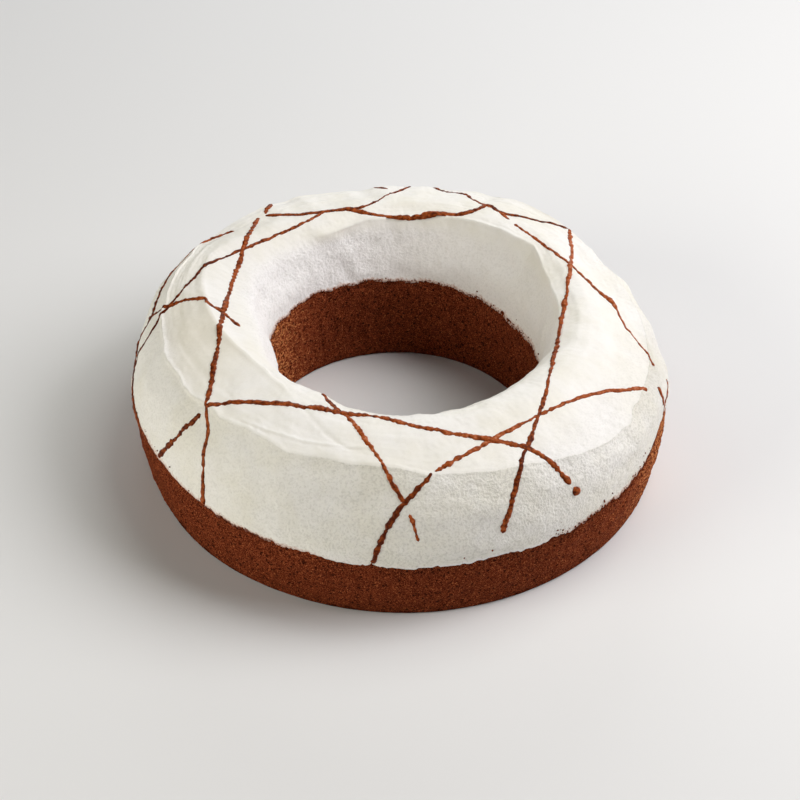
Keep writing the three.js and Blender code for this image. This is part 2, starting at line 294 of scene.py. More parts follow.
# The frosting's outer face as two curves that meet in the crease at the shoulder: the top from the edge in
# the hole, and the side down to the edge on the wall. Also the sponge's line and the edges' shares of it,
# which are sought in its first and last third
def frostingCurves(azimuth, innerRag, outerRag, creaseShift, skin):
    def by(effect):
        return swell(azimuth, effect)

    def edgeHeight(name, phase, rag):
        return ring[name] + by(name + "Up") + ragged(azimuth, phase) + rag

    holeIn = by("holeIn")
    line = spongeLine(azimuth)
    inner = shareAt(line, 0, 1 / 3, edgeHeight("innerEdge", ring["edgePhases"][0], innerRag), True)
    outer = shareAt(line, 2 / 3, 1, edgeHeight("outerEdge", ring["edgePhases"][1], outerRag), False)
    first, last = (beside(line, share[None], skin)[0] for share in (inner, outer))
    bumps = sum(high * bell(azimuth, at, ring["bumpWidth"]) for at, high in ring["bumps"])
    shoulderUp = by("shoulderUp") + bumps - ring["creaseFall"] * creaseShift
    shoulder = ringPoint(azimuth, "shoulder", by("shoulderOut") + creaseShift, shoulderUp)
    throatIn = ring["throatIn"] * holeIn
    gulletOut = ring["gulletOut"] * by("lipOut") - throatIn
    edge = (first[0] - ring["edgeIn"] * holeIn, first[1])
    throat = np.array(ringPoint(azimuth, "throat", by("throatOut") - throatIn, by("throatUp")))
    gullet = np.array(ringPoint(azimuth, "gullet", gulletOut, by("gulletUp")))
    lip = np.array(ringPoint(azimuth, "lip", by("lipOut") - holeIn, by("lipUp")))
    crest = np.array(ringPoint(azimuth, "crest", by("crestOut"), by("crestUp")))
    sharpLip, lipFade = lineAt(ring["lipLine"], azimuth)
    sharpCrest, crestFade = lineAt(ring["crestLine"], azimuth)
    lip += lipFade * (sharpLip - lip)
    gullet += lipFade * ((throat + lip) / 2 - gullet)
    crest[0] += lipFade * (lip[0] + ring["crestAcross"] * (shoulder[0] - lip[0]) - crest[0])
    crest += crestFade * (sharpCrest - crest)
    widest = ringPoint(azimuth, "widest", by("wallOut") + by("widestOut"), by("widestUp"))
    bulgeDrop, bulgeUp = (ring[key][0] + ring[key][1] * crestFade for key in ("bulgeDrop", "bulgeUp"))
    bulge = (
        crest[0] + ring["bulgeAcross"] * (shoulder[0] - crest[0]),
        crest[1] + bulgeDrop * (shoulder[1] - crest[1]) + bulgeUp,
    )
    sideBulge = ring["sideBulge"] + by("sideOut")
    top = np.array([edge, throat, gullet, lip, crest, bulge, shoulder])
    crisp = np.zeros((len(top), len(azimuth)))
    crisp[ring["lipPlace"]], crisp[ring["crestPlace"]] = lipFade, crestFade
    side = np.array([
        shoulder,
        ((shoulder[0] + widest[0]) / 2 + sideBulge, (shoulder[1] + widest[1]) / 2 + sideBulge),
        widest,
        tuple(last),
    ])
    return top, crisp, side, line, inner, outer


# Shares of a curve for a number of rows in each of its stretches
def rowShares(counts):
    stretches = [(k + np.linspace(0, 1, n, endpoint=False)) / len(counts) for k, n in enumerate(counts)]
    return np.concatenate([*stretches, [1]])


# Turns section points [m, 2, n] (radius, height) over n azimuths into grid points [n, m, 3]
def swept(section, azimuth):
    radius, height = section[:, 0].T, section[:, 1].T
    turn = azimuth[:, None]
    return np.stack([radius * np.cos(turn), radius * np.sin(turn), height], -1)


# Shader helpers: a tree is a material's or a group's node tree

def newMaterial(name):
    material = bpy.data.materials.new(name)
    material.use_nodes = True
    return material, material.node_tree


# Puts another node's output or a plain value into an input
def feed(tree, source, socket):
    if isinstance(source, bpy.types.NodeSocket):
        tree.links.new(source, socket)
    else:
        socket.default_value = source


def addNode(tree, kind, settings=None, **inputs):
    node = tree.nodes.new(kind)
    for name, value in (settings or {}).items():
        setattr(node, name, value)
    for name, value in inputs.items():
        feed(tree, value, node.inputs[name.replace("_", " ")])
    return node


def addMath(tree, operation, *sources, clamp=False):
    node = addNode(tree, "ShaderNodeMath", {"operation": operation, "use_clamp": clamp})
    for source, socket in zip(sources, node.inputs):
        feed(tree, source, socket)
    return node.outputs[0]


# Value that goes from least to most while the source passes from low to high
def addRise(tree, source, low, high, most=1, least=0):
    limits = {"From_Min": low, "From_Max": high, "To_Min": least, "To_Max": most}
    return addNode(tree, "ShaderNodeMapRange", Value=source, **limits).outputs[0]


# Colour laid over another by a share, or multiplied into it
def addLayer(tree, share, under, colour, blend="MIX"):
    node = addNode(tree, "ShaderNodeMix", {"data_type": "RGBA", "blend_type": blend})
    for source, k in ((share, 0), (under, 6), ((*colour, 1), 7)):  # a mix's factor and its two colours
        feed(tree, source, node.inputs[k])
    return node.outputs[2]


# Colours of a look at given stops
def addRamp(tree, source, look, stops):
    ramp = addNode(tree, "ShaderNodeValToRGB", Fac=source)
    elements = ramp.color_ramp.elements
    while len(elements) < len(stops):
        elements.new(0.5)
    for element, (place, name) in zip(elements, stops):
        element.position = place
        element.color = (*look[name], 1)
    return ramp.outputs["Color"]


def readValue(tree, name):
    return addNode(tree, "ShaderNodeAttribute", {"attribute_name": name}).outputs["Fac"]


# Last step of a material: its colour, the bump from a height, and its sheen
def finishMaterial(tree, look, colour, height):
    bump = addNode(tree, "ShaderNodeBump", Strength=look["bumpShare"], Distance=look["bump"], Height=height)
    inputs = tree.nodes["Principled BSDF"].inputs
    feed(tree, colour, inputs["Base Color"])
    feed(tree, bump.outputs["Normal"], inputs["Normal"])
    inputs["Roughness"].default_value = look["roughness"]
    inputs["Specular IOR Level"].default_value = look["specular"]


# Node group: fine grain of a soft food surface. Grain is a smooth noise, Pits are small dark cells,
# both on Object coordinates; Size is the grain in metres
def makeGrainGroup():
    group = bpy.data.node_groups.new("softGrain", "ShaderNodeTree")
    group.interface.new_socket("Size", in_out="INPUT", socket_type="NodeSocketFloat")
    for name in ("Grain", "Pits"):
        group.interface.new_socket(name, in_out="OUTPUT", socket_type="NodeSocketFloat")
    entry, leave = addNode(group, "NodeGroupInput"), addNode(group, "NodeGroupOutput")
    perMetre = addMath(group, "DIVIDE", 1, entry.outputs["Size"])
    place = addNode(group, "ShaderNodeTexCoord").outputs["Object"]
    noise = addNode(group, "ShaderNodeTexNoise", Vector=place, Scale=perMetre, Detail=3, Roughness=0.6)
    cells = addNode(group, "ShaderNodeTexVoronoi", Vector=place, Scale=perMetre, Randomness=1)
    feed(group, noise.outputs["Fac"], leave.inputs["Grain"])
    feed(group, cells.outputs["Distance"], leave.inputs["Pits"])
    return group


grainGroup = makeGrainGroup()


def addGrain(tree, size, output="Grain"):
    return addNode(tree, "ShaderNodeGroup", {"node_tree": grainGroup}, Size=size).outputs[output]


# Sponge

spongeLook = {
    "dark": (0.03, 0.005, 0.0018),
    "middle": (0.145, 0.028, 0.0088),
    "light": (0.34, 0.078, 0.03),
    "bright": (0.72, 0.3, 0.1),
    "stops": ((0.38, "dark"), (0.5, "middle"), (0.62, "light"), (0.74, "bright")),
    "coarse": 0.00192,  # two grains in metres, and how much the fine one counts
    "fine": 0.00048,
    "fineShare": 0.85,
    "litGrain": 0.0011,
    "litContrast": 1.25,  # painted light where the key lamp falls: how much of it is added, and how much lighter the crumb is made there
    "litLift": 0.1,
    "middleGrain": 0.5,
    "pits": 0.0024,  # metres between pits
    "pitLimits": (0.17, 0.3),
    "pitLeft": 0.3,  # how much of the colour is left in a pit
    "bump": 0.0005,
    "bumpShare": 0.9,
    "roughness": 0.9,
    "specular": 0.02,
}

sponge = {
    "azimuths": 860,
    "rows": (36, 8, 3, 3, 3, 4, 15, 17, 15),  # in each stretch of the sponge's line
    "baseRows": 4,
    "corner": 0.3,  # share of the rounding of the base by which its corner points move in
    "still": 2,  # height over the base up to which the relief fades
    "reliefs": ((1.8, 0.1), (8, 0.2)),  # waves and heights of crumb and lumps
    "sink": 1,  # depth by which it keeps clear of the frosting, and the share of its line to get there
    "sinkRun": 0.006,
    "litHole": (162, 22),  # middle and half width in degrees of the stretch in the hole lit by the key lamp, where the crumb gets painted light
    "litWall": (345, 18),  # and on the wall
    "seed": 11,
}


def spongeMaterial():
    look = spongeLook
    material, tree = newMaterial("chocolateSponge")
    coarse, fine, litGrain = (addGrain(tree, look[key]) for key in ("coarse", "fine", "litGrain"))
    mix = addNode(tree, "ShaderNodeMix", {"data_type": "FLOAT"}, Factor=look["fineShare"])
    feed(tree, coarse, mix.inputs[2])  # a mix's two plain values
    feed(tree, fine, mix.inputs[3])
    mixed = mix.outputs[0]
    # Painted light: where the key lamp falls a coarser grain is added and the whole is lifted
    litCrumb = readValue(tree, "litCrumb")
    lifted = addMath(tree, "MULTIPLY_ADD", litCrumb, look["litLift"], mixed)
    strength = addMath(tree, "MULTIPLY", litCrumb, look["litContrast"])
    centred = addMath(tree, "SUBTRACT", litGrain, look["middleGrain"])
    uneven = addMath(tree, "MULTIPLY_ADD", centred, strength, lifted)
    colour = addRamp(tree, uneven, look, look["stops"])
    left = addRise(tree, addGrain(tree, look["pits"], "Pits"), *look["pitLimits"], least=look["pitLeft"])
    pitted = addNode(tree, "ShaderNodeVectorMath", {"operation": "SCALE"}, Scale=left)
    feed(tree, colour, pitted.inputs[0])
    finishMaterial(tree, look, pitted.outputs[0], mixed)
    return material


# Closed section round the ring: the sponge's line, its two ends rounded off into the flat base.
# Each point then moves along its normal by two smoothed random fields, except near the base
def makeSponge(material):
    azimuth = np.linspace(0, 2 * np.pi, sponge["azimuths"], endpoint=False)
    same = np.ones_like(azimuth)
    roundOff = ring["baseRound"]
    corner = roundOff * sponge["corner"]
    stretch = 1 / len(sponge["rows"])
    line = spongeLine(azimuth)
    hole, outer = line[0, 0], line[-1, 0]
    shares = np.repeat(rowShares(sponge["rows"])[:, None], len(azimuth), 1)
    shares[0] = shareAt(line, 0, stretch, roundOff * same, True)
    shares[-1] = shareAt(line, 1 - stretch, 1, roundOff * same, False)
    across = np.linspace(1, 0, sponge["baseRows"] + 1)
    section = np.concatenate([
        np.array([(hole + corner, corner * same)]),
        spline(line, shares),
        np.array([(outer - corner, corner * same)]),
        np.array([(hole + roundOff + t * (outer - hole - 2 * roundOff), 0 * same) for t in across]),
    ])
    grid = swept(section, azimuth)
    steps = (2 * math.pi * ring["wall"][0] / sponge["azimuths"], 1)
    relief = np.zeros(grid.shape[:2])
    for k, (wave, high) in enumerate(sponge["reliefs"]):
        relief += high * roughness(grid.shape[:2], steps, (wave, wave), sponge["seed"] + k)
    relief *= smoothStep(0, sponge["still"], grid[..., 2])
    bare = np.ones((sponge["baseRows"] + 2, len(azimuth)))
    covered = np.concatenate([0 * bare[:1], shares, bare])
    start, end = frostingCurves(azimuth, 0, 0, 0, 0)[-2:]
    run = sponge["sinkRun"]
    sunk = smoothStep(0, run, covered - (start + run)) * smoothStep(0, run, (end - run) - covered)
    relief -= sponge["sink"] * sunk.T
    grid = grid + gridNormals(grid) * relief[..., None]
    quads = gridQuads(*grid.shape[:2], closedRows=True)
    piece = makePiece("cake", grid.reshape(-1, 3), quads, material, ["cake"])
    inHole = section[:, 0].T < ring["dome"][0]
    # Stretches lit by the key lamp, in the hole and on the outer wall, where the crumb gets painted light
    litCrumb = [bell(azimuth, *sponge[key])[:, None] for key in ("litHole", "litWall")]
    storeValue(piece, "litCrumb", np.where(inHole, *litCrumb))


makeSponge(spongeMaterial())


# Frosting

frostingLook = {
    "pale": (0.905, 0.885, 0.83),
    "warm": (0.87, 0.843, 0.75),
    # painted shade: the warmer, darker colour of the shaded outer band on the left
    "facetShade": (0.84, 0.8, 0.695),
    "hole": (0.925, 0.905, 0.885),  # painted light: the wall of the hole, and the rim at the lower edge, are whitened and cooled
    # painted shade, multiplied in by mottle, pores and the shade on the right side
    "pitShade": (0.76, 0.755, 0.735),
    "stained": (0.58, 0.35, 0.25),
    "crumby": (0.15, 0.034, 0.012),
    "cloud": 0.022,  # metres
    "mottle": 0.003,
    "pores": 0.001,
    "tintStops": ((0.35, "warm"), (0.62, "pale")),
    "patches": (0.42, 0.72, 0.25),  # between which values mottle and pores darken it with painted shade, and by how much
    "pits": (0.49, 0.63, 0.7),
    "edgeLayers": (("stained", 0.85, 1.3, 0.85), ("crumby", 1.22, 1.36, 1)),  # the same for the thin edge
    "bump": 0.0006,
    "bumpShare": 0.9,
    "roughness": 0.55,
    "specular": 0.35,
}

frosting = {
    "azimuths": 768,
    "topRows": (7, 8, 9, 14, 13, 24),  # in each stretch of the top, from the hole to the crease
    "sideRows": (18, 12, 15),
    "backRows": 8,
    "skin": 0.4,  # thickness of the lower edges
    "lipEdge": 0.25,  # heights of the thin raised edges on the sharp lip and crest
    "crestEdge": 0.2,
    "edgeWidth": 0.8,
    "edgeFade": 4,  # length over which the relief fades at the lower edges
    "topDepth": 6,  # depth below the lip by which the top has become the wall of the hole
    "reliefs": (  # streaks, lumps and grain: waves round and across, height, weight and what the top adds
        {"waves": (60, 2.6), "height": 0.07, "weights": (0.3, 0.7)},
        {"waves": (18, 12), "height": 0.22, "weights": (1, 0)},
        {"waves": (2.6, 2.4), "height": 0.065, "weights": (1.2, -0.3)},
    ),
    "ragWave": 1.8,
    "ragHeight": 0.17,
    "featherAz": (150, 190, 222, 240, 258, 296, 312, 345, 20),  # the thinning lower edges, by azimuth:
    "featherRun": (4, 11, 8, 5, 4, 4, 4, 4, 4),  # length, and how much
    "featherSide": (0.6, 1, 1, 1, 0.35, 0.3, 0.85, 0.85, 0.5),
    "featherHole": 0.8,
    "whiteAz": (0, 70, 110, 170),  # how much painted light whitens the wall of the hole, and the pores it shows, by azimuth
    "holeLight": (0.2, 0.6, 1, 1),
    "ragAz": (190, 200, 235, 250, 290, 312, 345, 10),  # how much more ragged the outer edge is
    "ragShare": (1, 3.2, 3.2, 1.8, 1.8, 3, 3, 1),
    "porousAz": (60, 150, 190, 235, 262, 290, 318, 345, 15),  # the side's pores by azimuth: their bump, and their painted shade
    "porousSide": (0.6, 0.45, 0.4, 0.45, 0.85, 1, 0.95, 1, 0.5),
    "porousTop": 0.13,
    "porousHole": (0.35, 0.5, 0.85, 0.7),  # at whiteAz
    "facetShade": (192, 20),  # middle and half width in degrees of the stretch of the outer top darkened by painted shade
    "rim": (287, 21),  # and of the thickened rim at the lower edge, whitened as a painted highlight
    "rimHeight": 0.8,
    "rimInset": 0.6,  # distance of its ridge from the edge, and its width
    "rimWidth": 0.42,
    "rightShadeAz": (318, 335, 350, 15, 40),  # how much painted shade darkens the side on the right
    "rightShade": (0, 0.4, 0.7, 0.4, 0),
    "seed": 23,
    "reliefSeed": 25,
    "creaseSeed": 30,
}

# The crease: how far its line wanders from the smooth shoulder, and the height of the lip on it
crease = {
    "az": (150, 158, 165, 173, 193, 204, 214, 222, 225, 232, 238, 245, 253, 259, 270, 276, 294, 300, 309,
           316, 322, 328, 333, 345),
    "shift": (0, -2.5, -2.2, -1.3, -1.7, -2.4, -0.5, -1.3, 0.8, -1.3, 0.2, 2.6, 0.2, 1, -0.2, 1.9, 1.4, 0.9,
              2.1, 2.9, 2.6, 1.1, -1.1, 0),
    "lipAz": (100, 150, 165, 205, 222, 262, 280, 300, 310, 345),
    "lip": (0.1, 0.25, 0.45, 0.45, 0.36, 0.24, 0.16, 0.2, 0.12, 0.15),
    "softAz": (215, 240, 300, 318),  # where the crease is rounded off
    "soft": (0, 1, 1, 0),
    "softTimes": 18,  # how often each row there moves to the middle of its neighbours, and how far
    "softShare": 0.8,
    "softWidth": 4,
    "lipInner": 1.2,  # widths of the lip's slopes towards the top and down the side
    "lipOuter": 0.6,
    "waveHeight": 0.3,
    "wave": 10,
}

# Lips and grooves left by the spatula: azimuths, plan radii, height, and widths of the inner and outer slope
spatulaMarks = (
    {"az": (228, 232, 240, 250, 256, 260, 266), "r": (95.2, 95, 94.2, 92.7, 91.8, 90.9, 90),
     "height": 0.5, "inner": 1.3, "outer": 0.5},
    {"az": (238, 242, 248, 251, 256, 260), "r": (75, 78.4, 83.7, 86.9, 91, 93),
     "height": -0.45, "inner": 1.1, "outer": 1.1},
    {"az": (226, 236, 250, 262, 268), "r": (69, 69.5, 71, 73, 74),
     "height": 0.3, "inner": 1, "outer": 1},
)


# Height of a mark over the grid: two rounded slopes away from its line, fading at the ends
def markHeight(mark, azimuth, radius):
    line, fade = lineAt(mark, azimuth)
    away = radius - line[0][:, None]
    width = np.where(away < 0, mark["inner"], mark["outer"])
    return mark["height"] * fade[:, None] * np.exp(-((away / width) ** 2))


def frostingMaterial():
    look = frostingLook
    material, tree = newMaterial("creamFrosting")
    cloud, mottle, pores = (addGrain(tree, look[key]) for key in ("cloud", "mottle", "pores"))
    poresAndShade = readValue(tree, "poresAndShade")
    tint = addRamp(tree, cloud, look, look["tintStops"])
    # Painted shade on the outer band on the left
    facetShaded = addLayer(tree, readValue(tree, "facetShade"), tint, look["facetShade"])
    # Painted light: the wall of the hole, and the rim at the lower edge, are whitened
    paintedLighter = addLayer(tree, readValue(tree, "inHole"), facetShaded, look["hole"])
    # Painted shade: mottle and pores darken it, standing for shade in the pores, more on the side than on
    # the top
    patchy = addRise(tree, mottle, *look["patches"])
    uneven = addMath(tree, "ADD", patchy, addRise(tree, pores, *look["pits"]))
    # and painted shade darkens the right side further
    shade = addMath(tree, "MULTIPLY_ADD", uneven, poresAndShade, readValue(tree, "rightShade"), clamp=True)
    colour = addLayer(tree, shade, paintedLighter, look["pitShade"], "MULTIPLY")
    # Thin edge: the cake shows through, then bare, as the feather value plus the pores' noise passes limits
    thin = addMath(tree, "ADD", readValue(tree, "feather"), pores)
    for name, *limits in look["edgeLayers"]:
        colour = addLayer(tree, addRise(tree, thin, *limits), colour, look[name])
    finishMaterial(tree, look, colour, addMath(tree, "MULTIPLY", pores, poresAndShade))
    return material


# The skin's closed section round the ring: its outer face, then back along the sponge. The outer face moves
# along its normal by the lip on the crease, the spatula's marks, streaks, lumps and grain.
# Returns the moulded face and how far out each of its rows reaches, for laying the drizzle
def makeFrosting(material):
    count, seed = frosting["azimuths"], frosting["seed"]
    azimuth = np.linspace(0, 2 * np.pi, count, endpoint=False)
    turned = np.degrees(azimuth)
    arc = 2 * math.pi * ring["shoulder"][0] / count

    def byAzimuth(key, places, table=frosting):
        return np.interp(turned, table[places], table[key], period=360)

    rags = [frosting["ragHeight"] * lineRoughness(count, arc, frosting["ragWave"], seed + k)
            for k in (0, 1)]
    rags[1] = rags[1] * byAzimuth("ragShare", "ragAz")
    shift = byAzimuth("shift", "az", crease)
    shift += crease["waveHeight"] * lineRoughness(count, arc, crease["wave"], frosting["creaseSeed"])
    top, crisp, side, line, inner, outer = frostingCurves(azimuth, *rags, shift, frosting["skin"])
    sideShares = rowShares(frosting["sideRows"])
    stretches = len(frosting["sideRows"])
    toEnd = np.minimum(stretches * (1 - sideShares), 1)  # the last stretch's rows close up to the edge
    sideShares = np.where(toEnd < 1, 1 - toEnd**2 / stretches, sideShares)
    face = np.concatenate([
        spline(top, rowShares(frosting["topRows"]), crisp),
        spline(side, sideShares)[1:],
    ])
    rows, topRows = len(face), sum(frosting["topRows"])
    soft = byAzimuth("soft", "softAz", crease)
    soft = soft * np.exp(-(((np.arange(rows)[:, None, None] - topRows) / crease["softWidth"]) ** 2))
    for _ in range(crease["softTimes"]):
        face[1:-1] += soft[1:-1] * ((face[2:] + face[:-2]) / 2 - face[1:-1]) * crease["softShare"]
    backShares = np.linspace(1, 0, frosting["backRows"])[:, None]
    back = spline(line, inner + backShares * (outer - inner))
    grid = swept(np.concatenate([face, back]), azimuth)
    radius, height = face[:, 0].T, face[:, 1].T
    mean = face.mean(2)
    lengths = np.concatenate([[0], np.cumsum(np.linalg.norm(np.diff(mean, axis=0), axis=1))])
    onTop = smoothStep(ring["lip"][1] - frosting["topDepth"], ring["lip"][1], height)
    relief = sum(markHeight(mark, azimuth, radius) for mark in spatulaMarks)
    lipRow, crestRow = (sum(frosting["topRows"][:ring[key]]) for key in ("lipPlace", "crestPlace"))
    for row, key, high in ((lipRow, "lipPlace", "lipEdge"), (crestRow, "crestPlace", "crestEdge")):
        ridge = np.exp(-(((lengths - lengths[row]) / frosting["edgeWidth"]) ** 2))
        relief = relief + frosting[high] * crisp[ring[key]][:, None] * ridge
    fromCrease = lengths - lengths[topRows]
    lipWidth = np.where(fromCrease < 0, crease["lipInner"], crease["lipOuter"])
    lip = byAzimuth("lip", "lipAz", crease)
    relief = relief + lip[:, None] * np.exp(-((fromCrease / lipWidth) ** 2))
    for k, kind in enumerate(frosting["reliefs"]):
        field = rowRoughness(count, arc, lengths, kind["waves"], frosting["reliefSeed"] + k)
        weight = kind["weights"][0] + kind["weights"][1] * onTop
        relief = relief + kind["height"] * weight * field
    toEdge = np.minimum(lengths, lengths[-1] - lengths)
    relief = relief * smoothStep(0, frosting["edgeFade"], toEdge)
    toRim = (lengths[-1] - lengths - frosting["rimInset"]) / frosting["rimWidth"]
    rim = bell(azimuth, *frosting["rim"])[:, None] * np.exp(-(toRim**2))
    relief = relief + frosting["rimHeight"] * rim
    grid[:, :rows] += gridNormals(grid)[:, :rows] * relief[..., None]
    quads = gridQuads(*grid.shape[:2], closedRows=True)
    piece = makePiece("frosting", grid.reshape(-1, 3), quads, material, ["frosting"])
    values = {key: np.zeros(grid.shape[:2]) for key in ("poresAndShade", "feather", "inHole", "facetShade", "rightShade")}
    poresAndShade, feather, inHole, facetShade, rightShade = values.values()
    # Painted light whitens the wall of the hole, most on its far left
    inHole[:, :topRows] = 1 - onTop[:, :topRows]
    porousHole = byAzimuth("porousHole", "whiteAz")[:, None]
    poresAndShade[:, :topRows] = frosting["porousTop"] + inHole[:, :topRows] * (porousHole - frosting["porousTop"])
    inHole *= byAzimuth("holeLight", "whiteAz")[:, None]
    # Pores on the side: their bump and their painted shade
    poresAndShade[:, topRows:rows] = byAzimuth("porousSide", "porousAz")[:, None]
    # The rim takes the same whitening as the hole's wall, a painted highlight, and loses its painted pore
    # shade
    inHole[:, topRows:rows] = rim[:, topRows:]
    poresAndShade[:, topRows:rows] *= 1 - rim[:, topRows:]
    # Painted shade on the left outer band, between crest and shoulder
    facetShade[:, crestRow:topRows] = bell(azimuth, *frosting["facetShade"])[:, None]
    # Painted shade on the right side
    rightShade[:, topRows:rows] = byAzimuth("rightShade", "rightShadeAz")[:, None]
    feather[:, :rows] = 1 - smoothStep(0, byAzimuth("featherRun", "featherAz")[:, None], toEdge)
    feather[:, :topRows] *= frosting["featherHole"]
    feather[:, topRows:] *= byAzimuth("featherSide", "featherAz")[:, None]
    for key, field in values.items():
        storeValue(piece, key, field)
    reach = np.maximum.accumulate(radius, 1)
    reach[:, :frosting["topRows"][0]] = 0
    downSide = np.cumsum(np.linalg.norm(np.diff(face[topRows:], axis=0), axis=1), 0).T
    reach[:, topRows + 1:] = radius[:, topRows, None] + downSide
    return grid[:, :rows], reach


frostingFace, frostingReach = makeFrosting(frostingMaterial())
frostingNormals = gridNormals(frostingFace)


# Drizzle

drizzleLook = {
    "dark": (0.085, 0.013, 0.003),
    "light": (0.385, 0.085, 0.018),
    "pale": (0.55, 0.21, 0.11),
    "stops": ((0.36, "dark"), (0.64, "light"), (0.82, "pale")),
    "grain": 0.0016,
    "bump": 0.0004,
    "bumpShare": 0.6,
    "roughness": 0.42,
    "specular": 0.07,
}

drizzle = {
    "samples": 600,  # places at which a strand's length is measured
    "step": 0.5,  # length of one piece of a strand, and the fewest pieces
    "fewest": 6,
    "sides": 8,
    "flat": 0.5,  # height of the section over its width
    "beadWave": 1.7,
    "beadShare": 0.18,
    "swayWave": 14,
    "swayShare": 0.12,
    "limits": (0.5, 1.6),  # of the width with both
    "endRun": 1.2,  # length of the drawn-out ends in half widths, and the least share at the tip, squared
    "tip": 0.002,
    "wander": 0.13,
    "wanderWave": 5,
    "seed": 41,
    "seedStep": 10,
}

